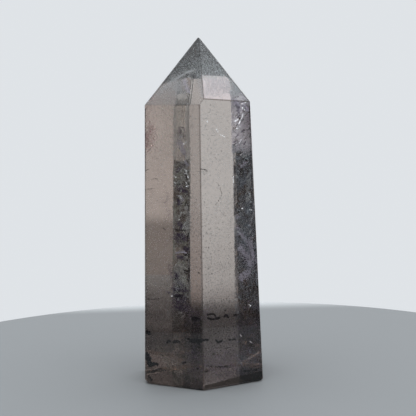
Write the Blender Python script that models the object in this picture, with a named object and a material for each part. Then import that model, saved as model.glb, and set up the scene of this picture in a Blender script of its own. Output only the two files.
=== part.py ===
# Smoky quartz tower: one polished stone with six side facets, six point facets and a flat base.
# Units are metres, +Z runs up the stone, and the origin is under the middle of its bounding box.

from math import cos, radians, sin

import bmesh
import bpy
from mathutils import Vector

# overall sizes; the polished tip ends 0.2 mm below the sharp height, at 80 mm
MM = 0.001
SHARP_HEIGHT = 80.2 * MM
BLOCK_WIDTH = 60.0 * MM
APEX_OFF_AXIS = Vector((0.83 * MM, 0.0))

# side facets: direction each one faces, how far it leans back, and its distance from the axis at the base
SIDE_FACETS = {
    "front_left": (240.3, 1.9, 13.75 * MM),
    "front_right": (299.4, 1.3, 13.85 * MM),
    "right": (0.0, 1.45, 13.87 * MM),
    "back_right": (56.0, 0.8, 16.3 * MM),
    "back_left": (124.5, 1.4, 12.6 * MM),
    "left": (180.0, 1.55, 13.62 * MM),
}

# point facets: direction each one faces and how far it leans back; all of them meet at the apex
POINT_FACETS = {
    "front_left": (241.2, 37.15),
    "front_right": (302.2, 38.4),
    "right": (0.0, 36.35),
    "back_right": (57.0, 43.0),
    "back_left": (122.0, 38.3),
    "left": (180.0, 38.85),
}

# edges: a small chamfer round the base, one chipped corner, and polished arrises
BASE_CHAMFER = 0.5 * MM
CHAMFER_LEAN = -45.0
CHIP_DIRECTION = 208.0
CHIP_LEAN = -38.0
CHIP_DISTANCE = 14.9 * MM
CORNER_SNAP = 0.1 * MM
ARRIS_WIDTH = 0.16 * MM
ARRIS_SEGMENTS = 2
ARRIS_MIN_ANGLE = 5.0

# the stone's finish
STONE_COLOUR = (0.33, 0.28, 0.26, 1.0)
STONE_ROUGHNESS = 0.04
STONE_CLARITY = 0.9
QUARTZ_IOR = 1.544


def clear_scene():
    for item in list(bpy.data.objects):
        bpy.data.objects.remove(item, do_unlink=True)


def facet_normal(direction, lean):
    """Unit normal that faces a compass direction and tips up by the lean."""
    turn = radians(direction)
    tip = radians(lean)
    return Vector((cos(turn) * cos(tip), sin(turn) * cos(tip), sin(tip)))


def outward_point(direction, distance, height=0.0):
    """Point at a distance from the axis in a compass direction."""
    turn = radians(direction)
    return Vector((cos(turn) * distance, sin(turn) * distance, height))


def rough_block(mesh):
    """Upright block that the stone is cut from, standing on the ground plane."""
    bmesh.ops.create_cube(mesh, size=1.0)
    bmesh.ops.scale(mesh, vec=(BLOCK_WIDTH, BLOCK_WIDTH, SHARP_HEIGHT * 1.1), verts=mesh.verts)
    lowest = min(v.co.z for v in mesh.verts)
    bmesh.ops.translate(mesh, vec=(0.0, 0.0, -lowest), verts=mesh.verts)


def grind_facet(mesh, point, normal):
    """Take away all that stands proud of a plane and close the cut with one flat face."""
    everything = list(mesh.verts) + list(mesh.edges) + list(mesh.faces)
    cut = bmesh.ops.bisect_plane(mesh, geom=everything, plane_co=point, plane_no=normal, clear_outer=True)
    rim = [item for item in cut["geom_cut"] if isinstance(item, bmesh.types.BMEdge)]
    if rim:
        bmesh.ops.contextual_create(mesh, geom=rim)


def grind_sides(mesh):
    for direction, lean, distance in SIDE_FACETS.values():
        grind_facet(mesh, outward_point(direction, distance), facet_normal(direction, lean))


def grind_point(mesh):
    apex = Vector((APEX_OFF_AXIS.x, APEX_OFF_AXIS.y, SHARP_HEIGHT))
    for direction, lean in POINT_FACETS.values():
        grind_facet(mesh, apex, facet_normal(direction, lean))


def grind_base_edges(mesh):
    for direction, lean, distance in SIDE_FACETS.values():
        inset = outward_point(direction, distance - BASE_CHAMFER)
        grind_facet(mesh, inset, facet_normal(direction, CHAMFER_LEAN))
    chip = outward_point(CHIP_DIRECTION, CHIP_DISTANCE)
    grind_facet(mesh, chip, facet_normal(CHIP_DIRECTION, CHIP_LEAN))


def centre_over_origin(mesh):
    """Move the stone so that the middle of its bounding box is over the origin."""
    xs = [v.co.x for v in mesh.verts]
    ys = [v.co.y for v in mesh.verts]
    shift = Vector((-(min(xs) + max(xs)) / 2, -(min(ys) + max(ys)) / 2, 0.0))
    bmesh.ops.translate(mesh, vec=shift, verts=mesh.verts)


def smoky_quartz_material():
    material = bpy.data.materials.new("smoky_quartz")
    material.use_nodes = True
    shader = material.node_tree.nodes["Principled BSDF"]
    shader.inputs["Base Color"].default_value = STONE_COLOUR
    shader.inputs["Roughness"].default_value = STONE_ROUGHNESS
    shader.inputs["Metallic"].default_value = 0.0
    shader.inputs["IOR"].default_value = QUARTZ_IOR
    shader.inputs["Transmission Weight"].default_value = STONE_CLARITY
    return material


def polish_arrises(stone):
    """Round the edges between facets slightly, as polishing does."""
    bevel = stone.modifiers.new("arrises", "BEVEL")
    bevel.width = ARRIS_WIDTH
    bevel.segments = ARRIS_SEGMENTS
    bevel.limit_method = "ANGLE"
    bevel.angle_limit = radians(ARRIS_MIN_ANGLE)


def make_tower():
    mesh = bmesh.new()
    rough_block(mesh)
    grind_sides(mesh)
    grind_point(mesh)
    grind_base_edges(mesh)
    bmesh.ops.remove_doubles(mesh, verts=mesh.verts, dist=CORNER_SNAP)
    bmesh.ops.recalc_face_normals(mesh, faces=mesh.faces)
    centre_over_origin(mesh)
    data = bpy.data.meshes.new("quartz_tower")
    mesh.to_mesh(data)
    mesh.free()
    stone = bpy.data.objects.new("quartz_tower", data)
    bpy.context.scene.collection.objects.link(stone)
    stone.data.materials.append(smoky_quartz_material())
    polish_arrises(stone)
    return stone


clear_scene()
make_tower()
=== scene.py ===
import itertools
import math

import bmesh
import bpy
import numpy as np
from mathutils import Matrix, Vector, noise


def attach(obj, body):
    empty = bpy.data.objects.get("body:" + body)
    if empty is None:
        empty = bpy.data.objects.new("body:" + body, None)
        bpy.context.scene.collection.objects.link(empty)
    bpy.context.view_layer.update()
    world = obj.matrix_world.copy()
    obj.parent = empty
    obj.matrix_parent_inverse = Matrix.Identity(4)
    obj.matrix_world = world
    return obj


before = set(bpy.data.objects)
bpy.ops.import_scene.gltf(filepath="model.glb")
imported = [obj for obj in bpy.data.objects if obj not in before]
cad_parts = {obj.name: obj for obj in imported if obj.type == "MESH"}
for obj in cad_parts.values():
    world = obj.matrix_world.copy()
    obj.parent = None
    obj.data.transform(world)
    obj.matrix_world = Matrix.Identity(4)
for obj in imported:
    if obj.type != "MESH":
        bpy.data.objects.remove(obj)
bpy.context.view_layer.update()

mm = 0.001
photoSide = 416  # the picture is square, in pixels
white = (1.0, 1.0, 1.0, 1.0)
nodesInRow = 10
# light goes in and out of many chips on its way
bounces = {"max_bounces": 40, "transmission_bounces": 40, "glossy_bounces": 24}
seeds = {"haze": 11, "cracks": 41, "veilRim": 61, "fracture": 23, "marks": 53, "lattice": 5}


# small helpers for shader nodes

# nodes stand in rows, in the order in which they are made
def addNode(tree, kind, **values):
    node = tree.nodes.new(kind)
    row, column = divmod(len(tree.nodes), nodesInRow)
    node.location = (column * 240, row * -340)
    for name, value in values.items():
        setattr(node, name, value)
    return node


def setInputs(node, values):
    for name, value in values.items():
        node.inputs[name].default_value = value


def plug(tree, socket, value):
    if isinstance(value, bpy.types.NodeSocket):
        tree.links.new(value, socket)
    else:
        socket.default_value = value


def mapRange(tree, source, fromLow, fromHigh, toLow=0.0, toHigh=1.0):
    node = addNode(tree, "ShaderNodeMapRange", interpolation_type="SMOOTHSTEP")
    tree.links.new(source, node.inputs["Value"])
    setInputs(node, {"From Min": fromLow, "From Max": fromHigh, "To Min": toLow, "To Max": toHigh})
    return node.outputs["Result"]


def mixColours(tree, factor, first, second, blend="MIX"):
    node = addNode(tree, "ShaderNodeMix", data_type="RGBA", blend_type=blend)
    for index, value in ((0, factor), (6, first), (7, second)):
        plug(tree, node.inputs[index], value)
    return node.outputs[2]


def maths(tree, operation, *values, clamp=False):
    node = addNode(tree, "ShaderNodeMath", operation=operation, use_clamp=clamp)
    for index, value in enumerate(values):
        plug(tree, node.inputs[index], value)
    return node.outputs[0]


def newMaterial(name):
    material = bpy.data.materials.new(name)
    material.use_nodes = True
    tree = material.node_tree
    return material, tree, tree.nodes["Principled BSDF"], tree.nodes["Material Output"]


# where a shaded spot is, as a point and as a node that gives its X, Y and Z
def spotPlace(tree, kind="Object"):
    coords = addNode(tree, "ShaderNodeTexCoord")
    split = addNode(tree, "ShaderNodeSeparateXYZ")
    tree.links.new(coords.outputs[kind], split.inputs[0])
    return coords.outputs[kind], split


def newObject(name, data):
    thing = bpy.data.objects.new(name, data)
    bpy.context.scene.collection.objects.link(thing)
    return thing


def meshObject(name, mesh):
    data = bpy.data.meshes.new(name)
    mesh.to_mesh(data)
    mesh.free()
    return newObject(name, data)


# the camera stands where the photograph was taken from

view = {
    "place": (1.937 * mm, -241.767 * mm, 61.198 * mm),
    "tipDown": 5.04,  # degrees below level
    "roll": 1.44,  # degrees, the world's up leans to the left
    "focalPixels": 1020.0,
    "sensor": 36.0,
    "clip": (1 * mm, 20.0),
}


def viewMatrix():
    tip = Matrix.Rotation(math.radians(90.0 - view["tipDown"]), 4, "X")
    roll = Matrix.Rotation(math.radians(-view["roll"]), 4, "Z")
    return Matrix.Translation(view["place"]) @ tip @ roll


def makeCamera():
    data = bpy.data.cameras.new("camera")
    data.sensor_width = view["sensor"]
    data.lens = view["focalPixels"] * view["sensor"] / photoSide
    data.clip_start, data.clip_end = view["clip"]
    data.dof.use_dof = False
    camera = newObject("camera", data)
    camera.matrix_world = viewMatrix()
    bpy.context.scene.camera = camera
    bpy.context.view_layer.update()
    return camera


# the studio: a round floor, cards that glow round the stone, and soft light overhead

studio = {
    "floorRadius": 96 * mm,
    "floorThick": 10 * mm,
    "floorDrop": 0.05 * mm,
    "floorRim": 1.5 * mm,
    "floorRough": 0.7,
    "floorColour": (0.24, 0.245, 0.25, 1.0),
    "floorBackLight": (0.58, 0.585, 0.59, 1.0),  # painted light: the floor is painted paler at the back, over this distance from the stone
    "floorFade": (78 * mm, 95 * mm),
    "cardSteps": 24,
    "roomColour": (0.16, 0.16, 0.165, 1.0),
    "overheadLeft": (1.27, 1.35, 1.40, 1.0),
    "overheadRight": (1.80, 1.90, 1.98, 1.0),
    "overheadRise": (14.0, 40.0),  # degrees above level where the overhead light fades in
}

# each card: its arc in degrees from straight behind to the right, its heights, its colour low and high,
# the heights between which that changes, and its distance from the stone; lengths in mm
cards = {
    "backdrop": ((-72, 72), (-420, 420), (0.74, 0.77, 0.80), (0.74, 0.77, 0.80), (-10, 10), 600),
    "dark_flag": ((-52, -19), (-420, -128), (0.07, 0.075, 0.08), (0.07, 0.075, 0.08), (-140, -130), 590),
    "low_card": ((-3, 22), (-420, -200), (0.95, 0.93, 1.02), (0.95, 0.93, 1.02), (-220, -210), 595),
    "fill_card": ((92, 114), (-190, 260), (0.36, 0.35, 0.35), (0.72, 0.71, 0.72), (-84, -70), 600),
    "low_fill_card": ((92, 114), (-420, -190), (0.43, 0.43, 0.46), (0.43, 0.43, 0.46), (-220, -210), 600),
    "side_card": ((-162, -132), (-68, 220), (1.0, 1.1, 1.2), (1.05, 1.2, 1.3), (-68, -40), 600),
    "low_side_card": ((-162, -132), (-420, -230), (0.7, 0.75, 0.85), (0.7, 0.75, 0.85), (-220, -210), 600),
}


def makeFloor():
    mesh = bmesh.new()
    bmesh.ops.create_cone(
        mesh, cap_ends=True, segments=128,
        radius1=studio["floorRadius"], radius2=studio["floorRadius"], depth=studio["floorThick"],
    )
    rim = [edge for edge in mesh.edges if len(edge.link_faces) == 2 and edge.calc_face_angle() > 1.0]
    bmesh.ops.bevel(mesh, geom=rim, offset=studio["floorRim"], segments=4, affect="EDGES")
    drop = studio["floorThick"] / 2 + studio["floorDrop"]
    bmesh.ops.translate(mesh, vec=(0.0, 0.0, -drop), verts=mesh.verts)
    floor = meshObject("floor", mesh)
    for face in floor.data.polygons:
        face.use_smooth = abs(face.normal.z) < 0.9
    material, tree, shader, out = newMaterial("floor_paint")
    point, split = spotPlace(tree)
    # painted light: the floor paler towards its back
    back = mapRange(tree, split.outputs["Y"], *studio["floorFade"])
    paint = mixColours(tree, back, studio["floorColour"], studio["floorBackLight"])
    tree.links.new(paint, shader.inputs["Base Color"])
    setInputs(shader, {"Roughness": studio["floorRough"]})
    floor.data.materials.append(material)


# a card is part of a standing cylinder round the stone; it stays with the camera, as in a studio
# where the stone turns and the lights don't
def makeCard(name, camera):
    arc, height, low, high, step, radius = cards[name]
    radius = radius * mm
    mesh = bmesh.new()
    rows = []
    steps = studio["cardSteps"]
    for level in height:
        row = []
        for index in range(steps + 1):
            turn = math.radians(arc[0] + (arc[1] - arc[0]) * index / steps)
            row.append(mesh.verts.new((math.sin(turn) * radius, math.cos(turn) * radius, level * mm)))
        rows.append(row)
    for index in range(steps):
        mesh.faces.new((rows[0][index], rows[0][index + 1], rows[1][index + 1], rows[1][index]))
    card = meshObject(name, mesh)
    card.parent = camera
    card.matrix_parent_inverse = camera.matrix_world.inverted()

    material, tree, shader, out = newMaterial(name + "_glow")
    tree.nodes.remove(shader)
    point, split = spotPlace(tree)
    lift = mapRange(tree, split.outputs["Z"], step[0] * mm, step[1] * mm)
    glow = addNode(tree, "ShaderNodeEmission")
    tree.links.new(mixColours(tree, lift, (*low, 1.0), (*high, 1.0)), glow.inputs["Color"])
    tree.links.new(glow.outputs[0], out.inputs["Surface"])
    card.data.materials.append(material)


def makeWorld():
    world = bpy.data.worlds.new("studio")
    bpy.context.scene.world = world
    world.use_nodes = True
    tree = world.node_tree
    tree.nodes.clear()
    point, split = spotPlace(tree, "Generated")
    side = mapRange(tree, split.outputs["X"], -0.5, 0.5)
    overhead = mixColours(tree, side, studio["overheadLeft"], studio["overheadRight"])
    low, high = (math.sin(math.radians(angle)) for angle in studio["overheadRise"])
    lift = mapRange(tree, split.outputs["Z"], low, high)
    colour = mixColours(tree, lift, studio["roomColour"], overhead)
    background = addNode(tree, "ShaderNodeBackground")
    tree.links.new(colour, background.inputs["Color"])
    out = addNode(tree, "ShaderNodeOutputWorld")
    tree.links.new(background.outputs[0], out.inputs["Surface"])


# the stone's own material: clear smoky quartz, smokier towards the base and behind some facets, where
# painted shade also stands for the dark ground and surroundings seen through it; painted shade and a
# contact shadow at the foot; softened arrises, painted slightly darker

frontLeft = 240.3  # the compass directions that the side facets face, in degrees
frontRight = 299.4
farRight = 0.0
backRight = 56.0
backLeft = 124.5
pointRight = (302.2, 38.4)  # and with a lean, the right one of the two front facets of the point

stone = {
    "ior": 1.544,
    "smoke": (0.39, 0.26, 0.16, 1.0),  # what the stone lets through, against smokeDensity per metre
    "smokeDensity": 30.0,
    "polish": 0.012,
    "leastFacet": 20.0 * mm * mm,  # faces of at least this area count as facets
    # smokier stone low down, with painted shade for the dark ground seen through the base
    "lowTint": (0.31, 0.285, 0.285, 1.0),
    "lowSpan": (14.5 * mm, 22.5 * mm),  # the tint comes in over this height
    "lowSpanRight": (15.8 * mm, 18.6 * mm),  # and more sharply behind the right front facet
    "rightBlend": (-0.2 * mm, 0.6 * mm),  # how the two meet from left to right, and from front to back
    "frontBlend": (-3.0 * mm, 0.0),
    "cloudScale": 130.0,  # the low tint and the painted foot shade have wavy limits
    "smokeAndShadeWaves": 5.0 * mm,
    "footShadeWaves": 0.5 * mm,
    "footGlow": (0.80, 0.76, 0.78, 1.0),  # the tint is weaker again near the foot
    "footSpan": (6.0 * mm, 10.0 * mm),
    "smokyAndShadeFacets": (  # facets with a darker layer behind them, smokier stone with painted shade for the dark surroundings seen through them: its tint low and high, and the span
        (backRight, (0.30, 0.235, 0.215, 1.0), (0.56, 0.51, 0.49, 1.0), (18.0 * mm, 52.0 * mm)),
        (backRight, (0.02, 0.017, 0.015, 1.0), white, (11.7 * mm, 18.2 * mm)),
        (farRight, (0.17, 0.155, 0.15, 1.0), white, (5.6 * mm, 8.2 * mm)),
        (backLeft, (0.36, 0.33, 0.32, 1.0), white, (2.6 * mm, 4.2 * mm)),
        (backLeft, (0.62, 0.60, 0.60, 1.0), white, (18.0 * mm, 44.0 * mm)),
    ),
    "smokyAndShadeReach": (0.02 * mm, 0.2 * mm),
    # painted shade: the arrises tinted darker, for the thin dark lines that the edges show
    "arrisShadeTint": (0.16, 0.12, 0.11, 1.0),
    "arrisReach": (0.05 * mm, 0.14 * mm),
    "frontFacets": (frontLeft, frontRight),  # the edge between these two shows most
    "frontReach": (0.08 * mm, 0.21 * mm),
    "leftPointFacet": (180.0, 38.85),  # its front edge shows fully, whatever faintArris says
    "faintArris": 0.35,  # how strongly the shoulder and the ridge show on the left side of the point
    "faintSide": (-1.0 * mm, 2.0 * mm),  # from left to right, over which they show more
    "faintHeight": (60.0 * mm, 64.0 * mm),
    "faintBack": (0.0, 3.0 * mm),  # behind this they don't show
    "arrisRough": 0.2,
    "paintedFootShade": (  # painted shade low on the front facets: the facet, tint, height of the shade's top, its slope to the right, how soft
        (frontRight, (0.215, 0.20, 0.21, 1.0), 5.0 * mm, 0.0, 1.3 * mm),
        (frontRight, (0.010, 0.007, 0.005, 1.0), 1.35 * mm, 0.085, 0.15 * mm),
        (frontLeft, (0.49, 0.46, 0.455, 1.0), 10.0 * mm, 0.0, 3.0 * mm),
        (frontLeft, (0.17, 0.155, 0.15, 1.0), 3.0 * mm, -0.16, 1.2 * mm),
    ),
    "footShadeReach": (0.02 * mm, 0.1 * mm),
    "footShadeRough": 0.05,
    "footContactShadow": (0.05, 0.04, 0.035, 1.0),  # painted contact shadow, darkening the ground chamfer round the base
    "footHeight": (0.35 * mm, 0.6 * mm),
}


# the large flat faces of the stone, each as a unit normal and a distance from the origin
def mainFacets(node):
    found = []
    for face in node.data.polygons:
        for facet in found:
            if facet[0].dot(face.normal) > 0.9998:
                facet[2] += face.area
                break
        else:
            found.append([face.normal.copy(), face.normal.dot(face.center), face.area])
    return [(tuple(facet[0]), facet[1]) for facet in found if facet[2] > stone["leastFacet"]]


# the facet that faces a compass direction, leaning back by some degrees
def facetFacing(facets, direction, lean=0.0):
    turn, tip = math.radians(direction), math.radians(lean)
    facing = (math.cos(turn) * math.cos(tip), math.sin(turn) * math.cos(tip), math.sin(tip))
    return max(facets, key=lambda facet: np.dot(facet[0], facing))


# 1 on the facet, fading to 0 a short way in from it
def facetMask(tree, point, facet, near, far):
    dot = addNode(tree, "ShaderNodeVectorMath", operation="DOT_PRODUCT")
    tree.links.new(point, dot.inputs[0])
    dot.inputs[1].default_value = facet[0]
    depth = maths(tree, "SUBTRACT", facet[1], dot.outputs["Value"])
    return mapRange(tree, depth, near, far, 1.0, 0.0)


# the height of a point, made wavy by a cloud
def wavyHeight(tree, cloud, waves, height):
    height = maths(tree, "MULTIPLY_ADD", cloud.outputs["Fac"], waves, height)
    return maths(tree, "SUBTRACT", height, waves / 2)


# the tint low in the stone, which clears towards the top: smokier stone, with painted shade for the dark
# ground seen through the base
def lowSmokeAndShade(tree, split, wavy):
    rise = mapRange(tree, wavy, *stone["lowSpan"])
    sharp = mapRange(tree, wavy, *stone["lowSpanRight"])
    right = mapRange(tree, split.outputs["X"], *stone["rightBlend"])
    front = mapRange(tree, split.outputs["Y"], *stone["frontBlend"], 1.0, 0.0)
    right = maths(tree, "MULTIPLY", right, front)
    change = maths(tree, "SUBTRACT", sharp, rise)
    change = maths(tree, "MULTIPLY", right, change)
    rise = maths(tree, "ADD", rise, change)
    foot = mapRange(tree, wavy, *stone["footSpan"])
    low = mixColours(tree, foot, stone["footGlow"], stone["lowTint"])
    return mixColours(tree, rise, low, white)


# how strongly each spot counts as an arris, by its nearness to two facets at once
def arrisMask(tree, point, split, facets):
    total = -1.0
    for facet in facets:
        near = facetMask(tree, point, facet, *stone["arrisReach"])
        total = maths(tree, "ADD", total, near)
    arris = maths(tree, "MULTIPLY", total, 1.0, clamp=True)
    left = mapRange(tree, split.outputs["X"], *stone["faintSide"], 1.0, 0.0)
    high = 1.0 - stone["faintArris"]
    high = mapRange(tree, split.outputs["Z"], *stone["faintHeight"], 0.0, high)
    faint = maths(tree, "MULTIPLY", left, high)
    pointFacet = facetFacing(facets, *stone["leftPointFacet"])
    rim = facetMask(tree, point, pointFacet, *stone["frontReach"])
    rim = maths(tree, "SUBTRACT", 1.0, rim)
    faint = maths(tree, "MULTIPLY", faint, rim)
    behind = mapRange(tree, split.outputs["Y"], *stone["faintBack"])
    faint = maths(tree, "MAXIMUM", faint, behind)
    shown = maths(tree, "SUBTRACT", 1.0, faint)
    arris = maths(tree, "MULTIPLY", arris, shown)
    sides = []
    for direction in stone["frontFacets"]:
        facet = facetFacing(facets, direction)
        sides.append(facetMask(tree, point, facet, *stone["frontReach"]))
    front = maths(tree, "MULTIPLY", *sides)
    return maths(tree, "MAXIMUM", arris, front)


def smokyQuartz(node):
    material, tree, shader, out = newMaterial("smoky_quartz_polished")
    facets = mainFacets(node)
    print("  facets", len(facets))
    point, split = spotPlace(tree)
    height = split.outputs["Z"]
    cloud = addNode(tree, "ShaderNodeTexNoise")
    setInputs(cloud, {"Scale": stone["cloudScale"], "Detail": 4.0, "Roughness": 0.6})
    tree.links.new(point, cloud.inputs["Vector"])
    colour = lowSmokeAndShade(tree, split, wavyHeight(tree, cloud, stone["smokeAndShadeWaves"], height))

    # darker layers behind some facets: smokier stone, and painted shade for the dark surroundings seen out
    # through them
    for direction, lowTint, highTint, span in stone["smokyAndShadeFacets"]:
        facet = facetFacing(facets, direction)
        behindFacet = facetMask(tree, point, facet, *stone["smokyAndShadeReach"])
        rise = mapRange(tree, height, *span)
        layer = mixColours(tree, rise, lowTint, highTint)
        layer = mixColours(tree, behindFacet, white, layer)
        colour = mixColours(tree, 1.0, colour, layer, "MULTIPLY")

    # painted shade: the front facets darkened towards the foot
    for direction, tint, top, slope, soft in stone["paintedFootShade"]:
        facet = facetFacing(facets, direction)
        footShaded = facetMask(tree, point, facet, *stone["footShadeReach"])
        line = maths(tree, "MULTIPLY_ADD", split.outputs["X"], -slope, height)
        line = wavyHeight(tree, cloud, stone["footShadeWaves"], line)
        line = mapRange(tree, line, top - soft, top, 1.0, 0.0)
        footShaded = maths(tree, "MULTIPLY", footShaded, line)
        colour = mixColours(tree, footShaded, colour, tint)
    # painted contact shadow round the base
    foot = mapRange(tree, height, *stone["footHeight"], 1.0, 0.0)
    colour = mixColours(tree, foot, colour, stone["footContactShadow"])

    arris = arrisMask(tree, point, split, facets)
    # painted shade: thin dark lines on the arrises
    colour = mixColours(tree, arris, colour, stone["arrisShadeTint"])
    tree.links.new(colour, shader.inputs["Base Color"])
    rough = maths(tree, "MULTIPLY_ADD", arris, stone["arrisRough"], stone["polish"])
    rough = maths(tree, "MULTIPLY_ADD", footShaded, stone["footShadeRough"], rough)
    tree.links.new(rough, shader.inputs["Roughness"])
    setInputs(shader, {"IOR": stone["ior"], "Metallic": 0.0, "Transmission Weight": 1.0})
    smoke = addNode(tree, "ShaderNodeVolumeAbsorption")
    setInputs(smoke, {"Color": stone["smoke"], "Density": stone["smokeDensity"]})
    tree.links.new(smoke.outputs[0], out.inputs["Volume"])
    return material


# chips: every flaw inside the stone is made of many small flat chips of mineral

chipCorners = np.array([(1, 1, 1), (1, -1, -1), (-1, 1, -1), (-1, -1, 1)], float) / 1.9
chipFaces = np.array([(0, 1, 2), (0, 3, 1), (0, 2, 3), (1, 3, 2)])
chipShape = np.array((1.2, 0.75, 0.35))  # length, width and thickness against the chip's size
flakeShape = np.array((1.3, 0.8, 0.05))  # flakes are flatter, so that they glint
chipIor = 1.2  # of the see-through chips, which only scatter light forward
chipSpeckle = 900.0  # scale of the cloud that mixes a chip's two colours
leastPlane = 2.0 * mm * mm  # faces of at least this area limit where chips can be
latticeSide = 32

sky = {  # how flakes behind the front facets face, to throw the light from overhead to the front
    "left": -0.29,
    "right": 0.33,
    "front": -0.91,
    "lift": 0.27,  # with more lift the light from flakes below the shoulder doesn't get out
    "pointLift": 0.35,  # so this is added above it, over this height
    "pointSpan": (65.2 * mm, 67 * mm),
}


def stonePlanes(node):
    faces = [face for face in node.data.polygons if face.area > leastPlane]
    normals = np.array([face.normal[:] for face in faces])
    centres = np.array([face.center[:] for face in faces])
    return normals, (normals * centres).sum(1)


def insideStone(points, planes, margin):
    normals, offsets = planes
    return ((points @ normals.T) < offsets[None] - margin).all(1)


def unit(vectors):
    return vectors / np.linalg.norm(vectors, axis=-1, keepdims=True)


# a turn for each chip: its flat side faces along normals, its length runs near along
def chipTurns(normals, along):
    across = unit(np.cross(normals, along))
    along = np.cross(across, normals)
    return np.stack([along, across, normals], -1)


def randomTurns(rng, count):
    return chipTurns(unit(rng.normal(size=(count, 3))), rng.normal(size=(count, 3)))


# turns that make flakes face as sky says, give or take the spread
def skyTurns(rng, centres, spread):
    side = np.where(centres[:, 0] < 0, sky["left"], sky["right"])
    lift = sky["lift"] + sky["pointLift"] * fade(centres[:, 2], *sky["pointSpan"])
    facing = unit(np.stack([side, np.full(len(centres), sky["front"]), lift], -1))
    normals = unit(facing + rng.normal(0, spread, size=centres.shape))
    return chipTurns(normals, rng.normal(size=centres.shape))


def makeChips(name, centres, sizes, turns, material, planes, margin=0.25 * mm):
    keep = insideStone(centres, planes, margin)
    centres, sizes, turns = centres[keep], sizes[keep], turns[keep]
    count = len(centres)
    corners = np.einsum("nij,nkj->nki", turns, chipCorners[None] * sizes[:, None, :]) + centres[:, None, :]
    faces = chipFaces[None] + (np.arange(count) * 4)[:, None, None]
    data = bpy.data.meshes.new(name)
    data.from_pydata(corners.reshape(-1, 3).tolist(), [], faces.reshape(-1, 3).tolist())
    data.materials.append(material)
    piece = newObject(name, data)
    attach(piece, "root")
    print("  ", name, count)


def chipMaterial(name, dark, light, roughness, metallic=0.0, clear=0.0, ior=1.5):
    material, tree, shader, out = newMaterial(name)
    coords = addNode(tree, "ShaderNodeTexCoord")
    cloud = addNode(tree, "ShaderNodeTexNoise")
    setInputs(cloud, {"Scale": chipSpeckle, "Detail": 2.0})
    tree.links.new(coords.outputs["Object"], cloud.inputs["Vector"])
    mix = mixColours(tree, cloud.outputs["Fac"], (*dark, 1.0), (*light, 1.0))
    tree.links.new(mix, shader.inputs["Base Color"])
    setInputs(shader, {"Roughness": roughness, "Metallic": metallic})
    setInputs(shader, {"Transmission Weight": clear, "IOR": chipIor if clear else ior})
    return material


lattice = np.random.default_rng(seeds["lattice"]).uniform(-1.0, 1.0, (latticeSide,) * 3)


# smooth random values from about -1 to 1 at the points, with finer and fainter octaves on top
def cloudiness(points, scale, seed, octaves=3):
    total = np.zeros(len(points))
    for octave in range(octaves):
        places = points * scale * 2**octave + seed
        corner = np.floor(places).astype(int)
        part = places - corner
        part = part * part * (3.0 - 2.0 * part)
        for step in itertools.product((0, 1), repeat=3):
            weight = np.where(step, part, 1.0 - part).prod(axis=1)
            total += weight * lattice[tuple(((corner + step) % latticeSide).T)] * 0.6**octave
    return total


def fade(values, low, high):
    return np.clip((values - low) / (high - low), 0.0, 1.0)


def ramp(values, low, high):  # the same with low and high in mm
    return fade(values, low * mm, high * mm)


# random places in a box in the stone, as thick everywhere as share says, from 0 to 1
def scatter(rng, planes, count, low, high, share, margin=0.35 * mm):
    found = []
    total = 0
    while total < count:
        points = rng.uniform(low, high, size=(count * 2, 3))
        points = points[insideStone(points, planes, margin)]
        points = points[rng.random(len(points)) < share(points)]
        found.append(points)
        total += len(points)
    return np.concatenate(found)[:count]


# haze: clouds of fine chips; a share says how thick one is at each place, from 0 to 1

veilTop = 71.7 * mm  # the curved pale veil under the tip: its highest place and how fast it falls away
veilSag = 62.0
veilMiddle = 0.3 * mm


# an uneven share, in clouds of a size that the scale gives
def patchy(points, scale, seed, strength, middle=0.5, octaves=3):
    return np.clip(middle + strength * cloudiness(points, scale, seed, octaves), 0.04, 1.0)


# 0 above the veil's top, rising to 1 a short way below it
def underVeil(points):
    top = veilTop - veilSag * (points[:, 0] - veilMiddle) ** 2
    return ramp(top - points[:, 2], 0.0, 0.5)


# slanting planes in the stone where its light and dark bands meet, each a facing and a distance in mm
bandEdges = {
    "darkLeft": ((0.985, -0.173, -0.021), -4.82),
    "darkRight": ((0.983, -0.182, -0.017), -0.14),
    "right": ((0.985, 0.174, -0.014), 5.1),
}


def beyond(points, name, reach=0.15 * mm):
    facing, distance = bandEdges[name]
    return fade(points @ np.array(facing) - distance * mm, 0.0, reach)


# how near to a facet, from 1 on it to 0 at the reach
def nearFront(points, facets, direction, reach, lean=0.0):
    normal, offset = facetFacing(facets, direction, lean)
    return fade(reach - (offset - points @ np.array(normal)), 0.0, reach)


# thick under the veil, thinner in the middle heights and on the far left
def paleShare(points, facets):
    height = points[:, 2]
    share = 0.12 + 0.88 * underVeil(points) * (1.0 - 0.4 * ramp(height, 34, 44))
    share *= 1.0 - 0.45 * ramp(-points[:, 0], 5, 7)
    return share * patchy(points, 170.0, 3.0, 1.0) * patchy(points, 520.0, 9.0, 1.2, 0.6, 2)


# the upper left edge
def roseShare(points, facets):
    x, y, height = points.T
    edge = ramp(-x, 9, 12) * ramp(height, 53, 58) * ramp(-y, 1, 4)
    return edge * patchy(points, 220.0, 2.0, 1.0)


# left of the left dark band, near the shoulder
def oliveShare(points, facets):
    x, y, height = points.T
    side = ramp(x, -9.5, -8) * (1.0 - beyond(points, "darkLeft", 1.0 * mm))
    return side * ramp(height, 50, 54) * patchy(points, 160.0, 7.0, 0.7, 0.7)


# the left dark band, thin in its upper part
def leftShare(points, facets):
    height = points[:, 2]
    zone = nearFront(points, facets, frontLeft, 6 * mm) * beyond(points, "darkLeft")
    zone *= 1.0 - beyond(points, "darkRight")
    zone *= (0.35 + 0.65 * ramp(height, 18, 30)) * (1.0 - 0.88 * ramp(height, 51.5, 53))
    return zone * patchy(points, 420.0, 14.0, 1.5, 0.4) * patchy(points, 1100.0, 6.0, 1.2, 0.5, 2)


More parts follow.
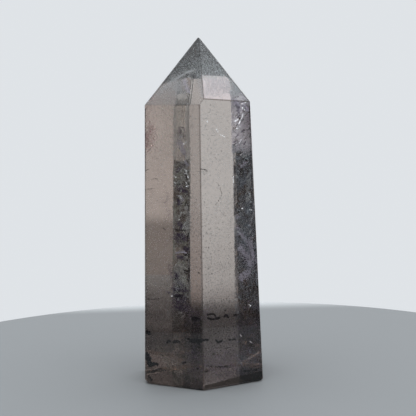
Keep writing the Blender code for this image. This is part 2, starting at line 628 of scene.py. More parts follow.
# the top of the left dark band and what lies left of it, with dark dust that also paints shade there
def dustAndShadeShare(points, facets):
    zone = nearFront(points, facets, frontLeft, 5 * mm) * (1.0 - beyond(points, "darkRight"))
    zone *= 0.5 * beyond(points, "darkLeft") + 0.5 * ramp(points[:, 0], -8.5, -5)
    zone *= ramp(points[:, 2], 51.8, 52.4) * (1.0 - 0.5 * ramp(points[:, 2], 60, 64))
    return zone * patchy(points, 300.0, 21.0, 0.7, 0.6)


# the right dark band, thin in its upper part
def rightShare(points, facets):
    height = points[:, 2]
    zone = nearFront(points, facets, frontRight, 6 * mm) * beyond(points, "right")
    zone *= (0.35 + 0.65 * ramp(height, 22, 32)) * (1.0 - 0.9 * ramp(height, 53, 56))
    return zone * patchy(points, 330.0, 31.0, 0.6, 0.6) * patchy(points, 1100.0, 16.0, 1.2, 0.5, 2)


# the outer parts of the point, under the veil on the left
def pointShare(points, facets):
    x, y, height = points.T
    left = (0.3 * ramp(-x, 2.0, 3.0) + 0.3 * ramp(-x, 5.5, 7.5)) * underVeil(points)
    right = 1.5 * ramp(x, 6.8, 8.4)
    front = ramp(-y, -2, 5) * ramp(height, 65.6, 66.4)
    return front * (left + right) * patchy(points, 300.0, 17.0, 0.8, 0.7)


# a pale patch right of the front ridge, low in the point
def patchShare(points, facets):
    x, y, height = points.T
    middle = ramp(x, 0.7, 1.2) * ramp(7.2 * mm - x, 0.0, 0.5)
    middle *= ramp(height, 65.5, 65.8) * (0.25 + 0.75 * ramp(69.8 * mm - height, 0.0, 1.2))
    shallow = nearFront(points, facets, pointRight[0], 1.6 * mm, pointRight[1])
    return middle * (0.25 + 0.75 * shallow) * patchy(points, 420.0, 27.0, 0.6, 0.7)


# the tip, and the right side of the point
def snowShare(points, facets):
    x, y, height = points.T
    right = ramp(x, 0.5, 3) * ramp(75 * mm - height, 0.0, 3)
    tip = 0.75 * ramp(height, 66, 71)
    side = ramp(x, 5.5, 8) * ramp(height, 65.8, 66.6)
    front = ramp(-y, -2, 5)
    amount = (right + tip) * ramp(height, 68, 71) + side
    return amount * front * patchy(points, 1500.0, 13.0, 0.7, 0.6, 2)


# the clear bands, thicker low down
def grainShare(points, facets):
    height = points[:, 2]
    left = nearFront(points, facets, frontLeft, 4 * mm) * (1.0 - beyond(points, "darkLeft")) * 0.35
    middle = beyond(points, "darkRight") * (1.0 - beyond(points, "right"))
    middle *= ramp(points[:, 0], -3, 0.0)
    middle *= 0.12 + 0.88 * ramp(44 * mm - height, 0.0, 14)
    strip = 0.6 * beyond(points, "darkRight") * ramp(-points[:, 0], -0.5, 0.0)
    return (left + middle + strip) * patchy(points, 260.0, 33.0, 0.5, 0.7)


# the lowest part of the stone, with an uneven top
def brownShare(points, facets):
    top = 19 * mm + 3 * mm * cloudiness(points, 120.0, 5.0, 2)
    return ramp(top - points[:, 2], 0.0, 2.5) * patchy(points, 240.0, 4.0, 1.4)


# low in the stone, mostly on the right and at the foot
def violetShare(points, facets):
    x, y, height = points.T
    right = ramp(x, 3, 7) * ramp(19 * mm - height, 0.0, 3)
    left = ramp(-x, -2, 2) * ramp(18 * mm - height, 0.0, 1) * ramp(height, 12, 14)
    foot = ramp(11 * mm - height, 0.0, 2) * ramp(x, -3, 0.0)
    amount = np.maximum(np.maximum(right, left), foot)
    return amount * patchy(points, 260.0, 8.0, 1.4) * ramp(-y, -6, 4)


# share, how many, chip size, dark and light colour, roughness, metallic, how clear, and two corners of the
# box that it fills; lengths in mm
haze = {
    "pale_haze": (
        paleShare, 19000, (0.06, 0.155), ((0.80, 0.86, 0.94), (0.92, 0.96, 1.0)), 0.4, 0.0, 0.85,
        (-14, -17, 0.5), (14, 17, 80),
    ),
    "rose_haze": (
        roseShare, 1500, (0.08, 0.2), ((0.80, 0.60, 0.62), (0.96, 0.80, 0.80)), 0.4, 0.0, 0.9,
        (-13.5, -12, 52), (-8, -1, 67),
    ),
    "olive_haze": (
        oliveShare, 900, (0.06, 0.15), ((0.72, 0.78, 0.70), (0.90, 0.94, 0.88)), 0.4, 0.0, 0.9,
        (-10, -13, 50), (-4.5, -6, 66),
    ),
    # dark dust that also paints shade over the top of the left band
    "left_dust_and_shade": (
        dustAndShadeShare, 9000, (0.03, 0.08), ((0.12, 0.11, 0.12), (0.30, 0.28, 0.29)), 0.6, 0.0, 0.0,
        (-9, -14, 51), (-1, -5, 66),
    ),
    "left_haze": (
        leftShare, 8000, (0.06, 0.16), ((0.20, 0.19, 0.17), (0.56, 0.53, 0.50)), 0.6, 0.0, 0.0,
        (-7.5, -16, 1), (-1.2, -5, 66),
    ),
    "left_flakes": (
        leftShare, 1600, (0.08, 0.18), ((0.62, 0.60, 0.58), (0.90, 0.88, 0.86)), 0.3, 1.0, 0.0,
        (-7.5, -16, 1), (-1.2, -5, 66),
    ),
    "right_haze": (
        rightShare, 30000, (0.05, 0.12), ((0.18, 0.205, 0.245), (0.43, 0.475, 0.545)), 0.6, 0.0, 0.0,
        (5.2, -14, 1), (13.8, 0, 66),
    ),
    "right_flakes": (
        rightShare, 1300, (0.08, 0.16), ((0.56, 0.63, 0.70), (0.84, 0.89, 0.93)), 0.3, 1.0, 0.0,
        (5.2, -14, 1), (13.8, 0, 66),
    ),
    "patch_haze": (
        patchShare, 4000, (0.05, 0.12), ((0.66, 0.64, 0.70), (0.94, 0.92, 0.98)), 0.6, 0.0, 0.0,
        (0.5, -14.5, 65.4), (7.4, 0, 71),
    ),
    "point_haze": (
        pointShare, 14000, (0.04, 0.11), ((0.66, 0.68, 0.71), (0.92, 0.93, 0.95)), 0.6, 0.0, 0.0,
        (-13, -13, 65.5), (13, 3, 73),
    ),
    "snow": (
        snowShare, 6000, (0.05, 0.11), ((0.62, 0.69, 0.72), (0.88, 0.95, 1.0)), 0.6, 0.0, 0.0,
        (-8, -13, 65.5), (13, 3, 80),
    ),
    "point_flakes": (
        snowShare, 600, (0.07, 0.12), ((0.74, 0.78, 0.80), (0.92, 0.94, 0.96)), 0.3, 1.0, 0.0,
        (-8, -13, 65.5), (13, 3, 80),
    ),
    "brown_haze": (
        brownShare, 3500, (0.08, 0.22), ((0.45, 0.38, 0.36), (0.80, 0.74, 0.70)), 0.35, 0.0, 0.85,
        (-14, -17, 0.5), (14, 17, 22),
    ),
    "fine_grains": (
        grainShare, 3400, (0.07, 0.15), ((0.06, 0.05, 0.05), (0.26, 0.23, 0.22)), 0.6, 0.0, 0.0,
        (-13.5, -16.5, 0.5), (8.5, -3, 66),
    ),
    "violet_haze": (
        violetShare, 4500, (0.08, 0.20), ((0.52, 0.44, 0.62), (0.84, 0.76, 0.94)), 0.4, 0.0, 0.75,
        (-3, -16, 0.5), (14, 6, 20),
    ),
}


def makeHaze(planes, facets):
    rng = np.random.default_rng(seeds["haze"])
    for name, (share, count, size, colours, roughness, metallic, clear, low, high) in haze.items():
        low, high = np.array(low) * mm, np.array(high) * mm
        centres = scatter(rng, planes, count, low, high, lambda points: share(points, facets))
        sizes = rng.uniform(*size, size=(count, 1)) * mm * (flakeShape if metallic else chipShape)
        look = chipMaterial(name, *colours, roughness, metallic, clear)
        turns = skyTurns(rng, centres, 0.4) if metallic else randomTurns(rng, count)
        makeChips(name, centres, sizes, turns, look, planes)


# healed cracks: small patchy curved sheets of pale chips behind the two front facets

cracks = {
    "count": 34,
    "chipsEach": 200,
    "halfLength": (1.0 * mm, 3.0 * mm),
    "halfWidth": (0.6 * mm, 1.5 * mm),
    "size": (0.06 * mm, 0.15 * mm),
    "colours": ((0.70, 0.71, 0.70), (0.94, 0.94, 0.94)),
    "shape": (1.3, 0.8, 0.25),
    "box": ((-7, -16, 20), (13, 0, 60)),  # mm
    "lean": (55.0, 15.0),  # degrees above level, and how much that varies
    "bulge": 0.18,
}


def makeCracks(planes, facets):
    rng = np.random.default_rng(seeds["cracks"])
    low, high = (np.array(corner) * mm for corner in cracks["box"])

    def share(points):
        return leftShare(points, facets) + 0.3 * rightShare(points, facets)

    middles = scatter(rng, planes, cracks["count"], low, high, share, 0.8 * mm)
    centres, normals, lengths = [], [], []
    for index, middle in enumerate(middles):
        lean = math.radians(rng.normal(*cracks["lean"]))
        along = unit(np.array((math.cos(lean), rng.normal(0, 0.4), math.sin(lean))))
        facing = unit(np.cross(along, rng.normal(size=3)))
        across = np.cross(facing, along)
        over = rng.uniform(-1, 1, (cracks["chipsEach"] * 4, 1))
        down = rng.uniform(-1, 1, (cracks["chipsEach"] * 4, 1))
        length, width = rng.uniform(*cracks["halfLength"]), rng.uniform(*cracks["halfWidth"])
        bulge = cracks["bulge"] * length * (over * over + rng.normal() * over * down)
        places = middle + along * (over * length) + across * (down * width) + facing * bulge
        wispy = cloudiness(places, 420.0, 20.0 + index, 3)
        rim = 1.0 - (over * over + down * down)[:, 0]
        inBands = beyond(places, "right") + beyond(places, "darkLeft") * (1.0 - beyond(places, "darkRight"))
        chance = np.clip(0.15 + 2.6 * wispy, 0.0, 1.0) * fade(rim, 0.0, 0.3) * inBands
        keep = rng.random(len(places)) < chance
        places = places[keep][:cracks["chipsEach"]]
        centres.append(places + rng.normal(0, 0.03 * mm, size=places.shape))
        normals.append(np.repeat(facing[None], len(places), 0))
        lengths.append(np.repeat(along[None], len(places), 0))
    centres, normals, lengths = (np.concatenate(parts) for parts in (centres, normals, lengths))
    count = len(centres)
    sizes = rng.uniform(*cracks["size"], size=(count, 1)) * np.array(cracks["shape"])
    turns = chipTurns(unit(normals + rng.normal(0, 0.3, size=(count, 3))), lengths)
    pale = chipMaterial("healed_cracks", *cracks["colours"], 0.3)
    makeChips("healed_cracks", centres, sizes, turns, pale, planes)


# the veil's rim: a thin pale arc under the tip

veilRim = {
    "count": 800,
    "size": (0.05 * mm, 0.13 * mm),
    "colours": ((0.62, 0.63, 0.65), (0.88, 0.89, 0.91)),
    "shape": (1.2, 0.9, 0.4),
    "span": (-9.5 * mm, -1.0 * mm, 0.6 * mm),  # its left end, where it is thickest, and its right end
    "back": -4.6 * mm,
    "slant": 0.12,
}


def makeVeilRim(planes):
    rng = np.random.default_rng(seeds["veilRim"])
    x = rng.triangular(*veilRim["span"], veilRim["count"])
    y = veilRim["back"] + veilRim["slant"] * x + rng.normal(0, 0.5 * mm, len(x))
    height = veilTop - veilSag * (x - veilMiddle) ** 2 - np.abs(rng.normal(0, 0.4 * mm, len(x)))
    sizes = rng.uniform(*veilRim["size"], size=(len(x), 1)) * np.array(veilRim["shape"])
    pale = chipMaterial("veil_rim", *veilRim["colours"], 0.6)
    makeChips("veil_rim", np.stack([x, y, height], -1), sizes, randomTurns(rng, len(x)), pale, planes)


# the fracture: a rippled sheet of glinting flakes inside the upper right corner, with dark dashes

fracture = {
    "corners": ((5.6, -5.0, 66.5), (12.6, -6.0, 66.0), (12.8, -3.8, 52.0), (5.6, -5.6, 52.0)),  # mm
    "count": 22000,
    "size": (0.08 * mm, 0.18 * mm),
    "colours": ((0.86, 0.80, 0.87), (1.0, 0.97, 1.0)),
    "wave": 0.3 * mm,
    "streakAlong": (0.82, 0.0, 0.57),
    "streakScale": (800.0, 2300.0),  # along a streak and across it
    "patchScale": (300.0, 500.0),
    "dashes": 26,
    "dashChips": 18,
    "dashLength": (0.4 * mm, 1.1 * mm),
    "dashBow": 0.12 * mm,
    "dashSize": (0.06 * mm, 0.13 * mm),
    "dashShape": (1.2, 0.8, 0.4),
    "dashColours": ((0.03, 0.02, 0.035), (0.12, 0.09, 0.12)),
    "facing": (0.33, -0.91, 0.28),
}


# places on the sheet between the corners, some way over to the right and some way down
def onSheet(corners, over, down):
    upperLeft, upperRight, lowerRight, lowerLeft = corners
    upper = upperLeft * (1 - over) + upperRight * over
    lower = lowerLeft * (1 - over) + lowerRight * over
    return upper * (1 - down) + lower * down


# smooth random values for places that lie so far along and so far across the streaks
def streaky(lengthwise, crosswise, scale, level):
    places = zip(lengthwise * scale[0], crosswise * scale[1])
    return np.array([noise.noise((first, second, level)) for first, second in places])


def makeFracture(planes):
    rng = np.random.default_rng(seeds["fracture"])
    corners = [np.array(corner) * mm for corner in fracture["corners"]]
    count = fracture["count"] * 4
    over, down = rng.random((2, count, 1))
    centres = onSheet(corners, over, down)
    sheet = unit(np.cross(corners[1] - corners[0], corners[3] - corners[0]))
    wave = fracture["wave"] * np.sin(over * 9.0 + down * 7.0)
    centres += sheet * (wave + rng.normal(0, 0.06 * mm, size=(count, 1)))
    along = unit(np.array(fracture["streakAlong"]))
    across = unit(np.cross(sheet, along))
    lengthwise, crosswise = centres @ along, centres @ across
    ripple = streaky(lengthwise, crosswise, fracture["streakScale"], 1.7)
    broad = streaky(lengthwise, crosswise, fracture["patchScale"], 7.7)
    over, down = over[:, 0], down[:, 0]
    low = 0.1 + 0.04 * over + 0.1 * broad
    inBand = beyond(centres + (0.2 * mm, 0.0, 0.0), "right", 0.02 * mm)
    edge = fade(1 - down, low - 0.1, low) * fade(down, 0.0, 0.015) * inBand
    top = 0.4 * fade(0.2 - down, 0.0, 0.1)
    chance = np.clip(0.8 + 1.7 * ripple + 0.3 * broad + top, 0.1, 1.0) * edge
    keep = rng.random(count) < chance
    centres, ripple = centres[keep][:fracture["count"]], ripple[keep][:fracture["count"]]
    count = len(centres)
    sizes = rng.uniform(*fracture["size"], size=(count, 1)) * flakeShape
    tilt = across[None] * (ripple[:, None] * 0.4)
    facing = np.repeat(np.array(fracture["facing"])[None], count, 0)
    facing[:, 2] += 0.2 * ramp(centres[:, 2], 60, 65)
    normals = unit(facing + tilt + rng.normal(0, 0.13, size=(count, 3)))
    turns = chipTurns(normals, np.repeat(along[None], count, 0))
    veil = chipMaterial("fracture_veil", *fracture["colours"], 0.36, 1.0)
    makeChips("fracture_veil", centres, sizes, turns, veil, planes)
    makeDashes(rng, planes, corners, sheet, along, across)


# short dark dashes just in front of the sheet
def makeDashes(rng, planes, corners, sheet, along, across):
    chips = fracture["dashChips"]
    dashes = []
    for index in range(fracture["dashes"]):
        over, down = rng.random(2)
        middle = onSheet(corners, over, down) - sheet * 0.5 * mm
        half = along * rng.uniform(*fracture["dashLength"]) / 2
        share = rng.uniform(-1, 1, size=(chips, 1))
        bow = across * fracture["dashBow"] * share**2
        dashes.append(middle + half * share + bow + rng.normal(0, 0.05 * mm, (chips, 3)))
    dashes = np.concatenate(dashes)
    dashes = dashes[beyond(dashes, "right") > 0.5]
    sizes = rng.uniform(*fracture["dashSize"], size=(len(dashes), 1)) * np.array(fracture["dashShape"])
    dark = chipMaterial("fracture_dashes", *fracture["dashColours"], 0.5, ior=1.05)
    makeChips("fracture_dashes", dashes, sizes, randomTurns(rng, len(dashes)), dark, planes)


# marks: single flecks, streaks and patches, each along a short line inside the stone

markLooks = {  # colours, roughness, metallic, IOR (low for dull ones), chip size in mm
    "bright": (((0.90, 0.90, 0.92), (1.0, 1.0, 1.0)), 0.15, 1.0, 1.5, (0.08, 0.2)),
    "pale": (((0.62, 0.62, 0.60), (0.96, 0.96, 0.94)), 0.5, 0.0, 1.5, (0.06, 0.15)),
    "lilac": (((0.40, 0.37, 0.44), (0.75, 0.70, 0.80)), 0.4, 1.0, 1.5, (0.06, 0.16)),
    "olive": (((0.26, 0.25, 0.21), (0.50, 0.48, 0.42)), 0.4, 1.0, 1.5, (0.06, 0.17)),
    "violet": (((0.05, 0.035, 0.065), (0.20, 0.14, 0.26)), 0.5, 0.0, 1.05, (0.07, 0.18)),
    "dark": (((0.006, 0.004, 0.007), (0.03, 0.022, 0.035)), 0.5, 0.0, 1.05, (0.08, 0.2)),
    "flecks": (((0.006, 0.004, 0.007), (0.03, 0.022, 0.035)), 0.5, 0.0, 1.05, (0.16, 0.34)),
    "grey": (((0.50, 0.45, 0.42), (0.70, 0.63, 0.58)), 0.4, 1.0, 1.5, (0.06, 0.15)),
    # painted shade: dark chips for the dark lines along the outline and band rims
    "edge": (((0.05, 0.045, 0.05), (0.2, 0.18, 0.2)), 0.5, 0.0, 1.05, (0.06, 0.14)),
}

# the marks of each kind: spread in mm, how many chips, depth in mm behind the facet, and a line of spots
# in pixels of the picture
marks = {
    "bright": (
        # left band
        (0.14, 33, 1.3, (184, 170.5), (186, 169), (187.2, 171), (186.5, 174), (184.5, 173.5)),
        (0.06, 7, 1.3, (175.2, 176.8), (176, 177.2)), (0.06, 6, 1.3, (174.8, 182.8), (175.6, 183)),
        (0.07, 7, 1.3, (187.5, 175), (188, 177.5)), (0.07, 7, 1.3, (185.5, 182), (186.5, 184)),
        (0.06, 7, 1.3, (185, 186.5), (188.5, 186)),
        (0.08, 14, 1.3, (178.8, 196), (180.8, 197.4), (182.3, 200)),
        (0.08, 16, 1.3, (178.6, 219.5), (179.7, 216), (181.5, 212.5)),
        # below the left shoulder
        (0.12, 22, 2, (180, 137), (183, 136.5)), (0.12, 26, 1.98, (183, 144.5), (188.4, 141)),
        # top of the clear band
        (0.1, 16, 2, (216.5, 129), (217.5, 132.5)), (0.12, 16, 2, (219.5, 134.5), (224, 136)),
        (0.1, 8, 2, (207, 121), (207.5, 122)),
        # right band
        (0.16, 24, 1.2, (237.5, 231), (240, 234)), (0.1, 8, 1, (242, 208), (243, 209)),
        (0.12, 12, 1, (249.5, 209), (251, 210.5)), (0.08, 30, 0.8, (233.4, 176), (233.6, 185)),
        (0.09, 9, 1, (249, 304.5), (250.5, 306)), (0.09, 9, 1, (240, 334), (241.5, 336.5)),
        (0.1, 10, 1, (250, 341.5), (252, 343)),
        # left side
        (0.06, 8, 1, (171.5, 296), (172.3, 296.5)),
        # upper corner
        (0.09, 120, 1, (241.3, 103.8), (244.3, 103), (247.2, 100.8)),
        (0.06, 22, 1, (241.2, 110), (242.3, 108), (243.6, 107.4)),
        (0.06, 14, 1, (242.5, 108.3), (244.2, 110)),
        (0.07, 26, 1, (240.8, 119.5), (241.9, 117), (242.8, 114)),
        (0.08, 22, 1, (234.6, 121.4), (237.8, 119.3)),
        (0.05, 50, 1, (238.4, 124), (239.6, 122.4), (240.5, 120.6)),
        (0.06, 11, 1, (236, 129.5), (240, 126)), (0.06, 6, 1, (238.8, 143.2), (241.8, 139.6)),
    ),
    "pale": (
        # ring
        (
            0.14, 90, 2.5, (174.5, 131), (176, 127), (179.5, 125.5), (183, 127.5), (184, 131),
            (183, 135), (179.5, 136.5), (176, 135), (174.5, 131),
        ),
        # below the left shoulder
        (0.14, 60, 2, (176, 146), (180, 149), (184, 156)),
        (0.12, 50, 2, (187, 112), (185, 120), (187.5, 128)),
        # left band
        (0.18, 60, 1.3, (184, 206.5), (188, 207.8)), (0.08, 20, 1.3, (184.5, 267), (186.5, 268.5)),
        # clear band
        (0.22, 36, 1.5, (201.5, 172), (206, 173)),
        # left foot
        (0.3, 40, 1.5, (167.5, 312), (169, 316.5)),
    ),
    "lilac": (
        # right band
        (0.3, 90, 1.2, (235.5, 219), (237.5, 216), (239.5, 217)),
        (0.1, 40, 1, (250.5, 226), (252.5, 213), (253.5, 203)),
        # left band
        (0.12, 90, 1.4, (178.3, 195.5), (181, 197), (183, 201)),
        (0.3, 140, 1.6, (185.5, 161), (187.5, 166)),
        (0.14, 130, 1.5, (175.5, 253), (181, 252.3), (186.5, 253)),
        # right streak
        (0.5, 520, 1.2, (236, 226), (243, 236), (249, 245), (255.5, 262)),
        # point
        (0.45, 240, 0.9, (184, 80), (189, 93)),
        # below the left shoulder
        (0.6, 260, 1.2, (178, 140), (186, 155)),
        # rim of the upper corner
        (0.3, 350, 1.2, (236, 101), (239, 113)),
        # right patches
        (0.9, 800, 1.2, (239, 246), (246, 256), (252, 266)), (0.8, 450, 1.2, (240, 279), (250, 271)),
        (0.12, 60, 1, (236, 236), (241, 232)), (0.45, 260, 1, (250, 238), (253.5, 256)),
        (0.4, 110, 1, (241, 233), (243, 239)),
        # top of the right band
        (0.4, 120, 1, (240, 168), (246, 162)),
        # upper corner
        (0.45, 320, 0.9, (234.5, 101.5), (240, 108)), (0.4, 150, 0.9, (243, 104), (248, 111)),
    ),
    "olive": (
        # left band
        (0.26, 300, 1.5, (174.5, 179.5), (177, 175.5), (180.5, 173.5), (183.5, 176), (184.5, 181)),
        (0.22, 110, 1.5, (178, 178.5), (182, 180)),
        (0.12, 110, 1.4, (187.8, 197), (185.5, 201), (183.5, 205), (181.5, 208)),
        (0.12, 80, 1.4, (174.5, 213.5), (176.5, 210), (179.5, 206.5)),
        (0.1, 80, 1.4, (178.2, 221), (179.5, 216), (181.8, 211.5)),
        (0.18, 130, 1.4, (174.7, 204), (175, 212), (174, 224)), (0.34, 240, 1.6, (180.1, 240), (186, 244)),
        (0.1, 70, 1.4, (177, 264.5), (181, 262), (184.5, 263.5), (186.5, 266.5)),
        (0.1, 45, 1.4, (181, 268.5), (184, 267), (186.5, 270)), (0.36, 220, 1.6, (184, 274), (186, 284)),
        (0.22, 120, 1.6, (173.5, 240), (173.5, 262)),
        # left foot
        (0.6, 200, 1.5, (160, 345), (166, 360), (171, 373)),
        (0.5, 160, 1.5, (172, 371), (178, 380), (182, 387)),
    ),
    "violet": (
        # left band
        (0.46, 260, 1.6, (177, 171.5), (181, 168), (184, 164)), (0.57, 260, 1.8, (177, 188), (187, 191)),
        (0.35, 260, 1.5, (177.5, 199.5), (180.1, 202), (178.5, 204.5)),
        (0.54, 260, 1.7, (179, 222.5), (182, 227)), (0.35, 180, 1.7, (177, 234), (185, 236)),
        (0.41, 240, 1.7, (178, 256.8), (184, 258.2)), (0.49, 300, 1.7, (176, 273), (178, 281)),
        (0.46, 160, 1.7, (184, 249), (188, 250)), (0.81, 420, 1.7, (175, 300), (186, 301)),
        # middle of the ring
        (0.41, 120, 1.7, (180, 136), (180, 128)),
        # upper corner
        (0.1, 30, 0.9, (235.6, 137.6), (238.6, 134.2)), (0.1, 26, 0.9, (241.6, 132.4), (244.4, 129.4)),
        (0.1, 30, 0.9, (233.6, 142.4), (236.4, 140.2)), (0.1, 40, 0.9, (243.8, 144.4), (246.2, 141)),
        (0.1, 40, 0.9, (237, 118), (239.6, 115.4)),
        # point
        (0.6, 70, 1, (180, 84), (186, 98)),
        # ring
        (
            0.12, 55, 1, (177.5, 132), (178.5, 128), (181, 126.5), (184, 128), (185, 132),
            (183.5, 136), (180, 137.5), (177.5, 135),
        ),
        (0.16, 60, 1, (183, 137), (188, 134.5)),
        # low in the left band
        (0.5, 330, 1, (173, 289), (187, 291)), (0.45, 200, 1, (169, 264), (175, 294)),
        (0.35, 120, 1, (166, 292), (186, 297)), (0.35, 130, 1, (177, 282), (183, 286.9)),
        (0.9, 500, 1.8, (175, 238), (187, 240)), (0.9, 700, 1.8, (174, 306), (188, 308)),
        # front edge
        (1, 420, 0.9, (197, 311), (197, 346)),
        # left side: painted shade, a darker strip beside the left dark band
        (0.9, 110, 1.2, (167.5, 194), (168.5, 214)),
        # foot of the front edge
        (1.1, 300, 1, (192.04, 343), (195, 372)),
    ),
    "dark": (
        # left band
        (0.16, 50, 1.3, (185.5, 174), (188, 182)), (0.1, 40, 1.3, (184.5, 183), (188.5, 184)),
        (0.1, 30, 1.3, (188.7, 207), (188.5, 216)), (0.12, 50, 1.3, (176, 185), (183, 183.5)),
        (0.16, 150, 1.5, (176, 230), (185.1, 230.5)), (0.14, 70, 1.3, (188.8, 233.5), (187.5, 238)),
        (0.3, 260, 1.5, (178.5, 286), (179, 291)), (0.42, 300, 1.5, (175, 296.5), (182, 296)),
        # clear band
        (0.08, 40, 1, (200.76, 169), (204, 169.5), (207.5, 171.5)),
        (0.07, 12, 0.8, (198.7, 272.5), (199.3, 274)), (0.05, 6, 0.8, (208, 246.5), (208.5, 248)),
        (0.06, 8, 1.5, (211.5, 273.5), (212.5, 274.5)),
        # left side
        (0.06, 20, 1, (145.5, 189.5), (150, 189), (153.5, 188.5)),
        (0.06, 10, 1, (146, 170.5), (148.5, 169)), (0.07, 16, 1.5, (151, 180), (155, 178), (158.5, 181)),
        (0.07, 22, 1.5, (163.5, 228), (165, 230)), (0.08, 60, 1, (147, 299), (153, 299.5), (160.5, 298.5)),
        # arc in the clear band
        (0.05, 20, 2.5, (216, 181), (220, 187), (222, 194)),
        (0.05, 18, 2.5, (222, 194), (219, 200), (215, 205)),
        # upper corner
        (0.07, 20, 0.9, (235.8, 125.8), (237.6, 124.6)), (0.07, 10, 0.9, (243.2, 110.6), (244.6, 111.8)),
        # left foot
        (0.25, 90, 0.8, (148.5, 376), (152, 381)),
    ),
    "flecks": (
        # upper row
        (0.22, 382, 1.2, (193, 318.8), (198.5, 318.6)), (0.1, 60, 1.2, (190.5, 316), (193.1, 318)),
        (0.09, 127, 1.2, (207, 315), (210, 313.8), (214, 314.2), (216, 316.5)),
        (0.09, 127, 1.2, (207.5, 318), (212, 319.6), (216, 318.6)),
        (0.12, 85, 1.2, (216.5, 318.8), (220, 317.4)),
        (0.12, 111, 1.2, (223.8, 316.8), (226, 314.8), (228.2, 317.2)),
        (0.1, 55, 1.2, (233.5, 315.4), (236.8, 314.9)), (0.07, 15, 1.2, (224.5, 310.4), (225.5, 310.6)),
        # lower row
        (0.16, 111, 1.2, (167.2, 342), (170.3, 341)),
        (0.18, 204, 1.2, (173.5, 342.5), (176.5, 341.1), (179.8, 342.6)),
        (0.09, 34, 1.2, (187.3, 338.9), (190.3, 338.9)),
        (0.12, 229, 1.2, (191.5, 339.6), (200, 340), (208.5, 339.8)),
        (0.26, 484, 1.2, (193.3, 341), (198.6, 341.2)), (0.09, 34, 1.2, (198.8, 343.6), (199.6, 344.8)),
        (0.13, 178, 1.2, (215.6, 339.8), (218, 342.8), (222.3, 340.2)),
        (0.1, 55, 1.2, (229, 339.8), (235.5, 339.2)),
        # below the rows
        (0.1, 34, 1.2, (212.8, 354.4), (214.4, 353.6)), (0.12, 70, 1.2, (182.3, 362.8), (186, 362.4)),
        (0.09, 34, 1.2, (196.7, 369.2), (198.5, 368.6)), (0.09, 40, 1.2, (205.3, 371.8), (208.3, 371.2)),
        # chipped corner
        (0.38, 1100, 0.7, (147, 354), (148.5, 360), (150, 364.5)),
        (0.3, 420, 0.7, (150, 364.8), (154, 364.2)), (0.2, 102, 1.2, (155.8, 363.2), (157.8, 364.52)),
        # left side
        (0.28, 178, 1.2, (146.8, 332), (149.6, 333.4)),
        # foot
        (0.08, 102, 1, (243, 371), (250, 370.6), (257, 370.2)),
        (0.06, 66, 1, (206, 366), (216, 367), (228, 366.4)),
        # middle of the lower row
        (0.26, 620, 0.5, (190, 341), (197, 340.5), (203, 340.5)),
    ),
    "grey": (
        # sides of the left band
        (0.36, 1900, 0.8, (187.2, 106), (188, 158)), (0.3, 1000, 0.8, (174.9, 106), (175.2, 158)),
        # point
        (0.12, 230, 0.8, (192.3, 80), (189.6, 103)), (0.8, 420, 0.8, (178, 97), (186, 97)),
    ),
    # painted shade: dark chips just inside the outline and along the right band's rim, and a painted
    # contact shadow along the foot
    "edge": (
        # rim of the right band
        (0.3, 403, 0.7, (234.5, 163), (234.7, 175)), (0.3, 195, 0.7, (235.1, 175), (235.2, 187)),
        (0.3, 845, 0.7, (234.7, 187), (234.9, 216)), (0.3, 975, 0.7, (235.4, 236), (236.4, 298)),
        # foot: painted contact shadow
        (0.05, 900, 0.35, (147.4, 378), (152, 383.2), (175, 386.4), (203, 389.4)),
        (0.05, 900, 0.35, (205, 389.4), (235, 384.6), (260, 379.6)),
        # sides of the point
        (0.06, 900, 0.45, (146.2, 103.5), (172, 73.3), (197.4, 41.5)),
        (0.06, 900, 0.45, (248.2, 100.2), (224, 70.6), (200.6, 41.5)),
        # left side
        (0.05, 1500, 0.45, (145.6, 108), (145.8, 240), (146.4, 370)),
        # right side
        (0.07, 260, 0.45, (249.4, 106), (249.8, 125)), (0.07, 700, 0.45, (249.8, 125), (253.3, 230)),
        (0.07, 700, 0.45, (253.3, 230), (258, 330)), (0.07, 260, 0.45, (258, 330), (260.5, 368)),
    ),
}

markSpread = 0.6  # of the spread is the usual distance of a chip from its line
markMargin = 0.12 * mm  # chips nearer to the surface are left out
evenTurns = 0.12  # how far the flakes of a bright or grey mark turn away from each other
unevenTurns = 0.25


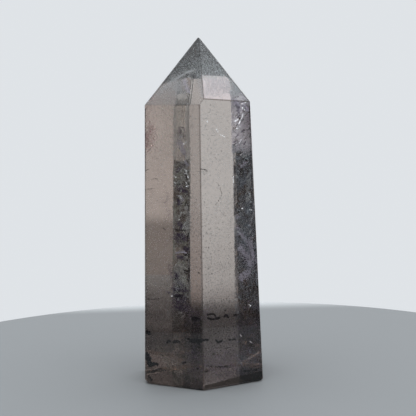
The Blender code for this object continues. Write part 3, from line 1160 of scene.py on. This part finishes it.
# the place in mm that shows at a spot in the picture and lies so deep in the stone: the line of sight
# meets the nearest facet and bends as it goes in
def placeBehind(spot, depth, facets):
    toSpot = Vector((spot[0] - photoSide / 2, photoSide / 2 - spot[1], -view["focalPixels"]))
    sight = unit(np.array(viewMatrix().to_3x3() @ toSpot))
    eye = np.array(view["place"])
    crossings = []
    for normal, offset in facets:
        slant = np.dot(normal, sight)
        if slant < 0.0:
            crossings.append(((offset - np.dot(normal, eye)) / slant, slant, normal))
    distance, slant, normal = max(crossings)
    bend = 1.0 / stone["ior"]
    inward = math.sqrt(1.0 - bend**2 * (1.0 - slant**2))
    within = bend * sight - (bend * slant + inward) * np.array(normal)
    place = eye + sight * distance + within * depth * mm
    return np.round(place / mm, 1)


# evenly spread places along a line of straight stretches
def alongLine(rng, line, count):
    line = np.array(line, float)
    steps = np.linalg.norm(np.diff(line, axis=0), axis=1)
    reach = np.concatenate([[0.0], np.cumsum(steps)])
    at = np.sort(rng.uniform(0.0, reach[-1], count))
    return np.stack([np.interp(at, reach, line[:, axis]) for axis in range(3)], -1)


def makeMarks(planes, facets):
    rng = np.random.default_rng(seeds["marks"])
    for kind, (colours, roughness, metallic, ior, size) in markLooks.items():
        centres = []
        for spread, count, depth, *spots in marks[kind]:
            line = [placeBehind(spot, depth, facets) for spot in spots]
            places = alongLine(rng, line, count)
            centres.append(places + rng.normal(0, spread * markSpread, size=places.shape))
        centres = np.concatenate(centres) * mm
        count = len(centres)
        sizes = rng.uniform(*size, size=(count, 1)) * mm * (flakeShape if metallic else chipShape)
        look = chipMaterial(kind + "_marks", *colours, roughness, metallic, 0.0, ior)
        turns = randomTurns(rng, count)
        if metallic:
            turns = skyTurns(rng, centres, evenTurns if kind in ("bright", "grey") else unevenTurns)
        makeChips(kind + "_marks", centres, sizes, turns, look, planes, markMargin)


print("camera")
camera = makeCamera()
print("studio")
makeFloor()
for name in cards:
    makeCard(name, camera)
makeWorld()
bpy.context.scene.view_settings.view_transform = "Standard"
print("stone")
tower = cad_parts["quartz_tower"]
tower.data.materials.clear()
tower.data.materials.append(smokyQuartz(tower))

planes = stonePlanes(tower)
print("inside the stone")
facets = mainFacets(tower)
makeHaze(planes, facets)
makeCracks(planes, facets)
makeVeilRim(planes)
makeFracture(planes)
makeMarks(planes, facets)
for name, value in bounces.items():
    setattr(bpy.context.scene.cycles, name, value)
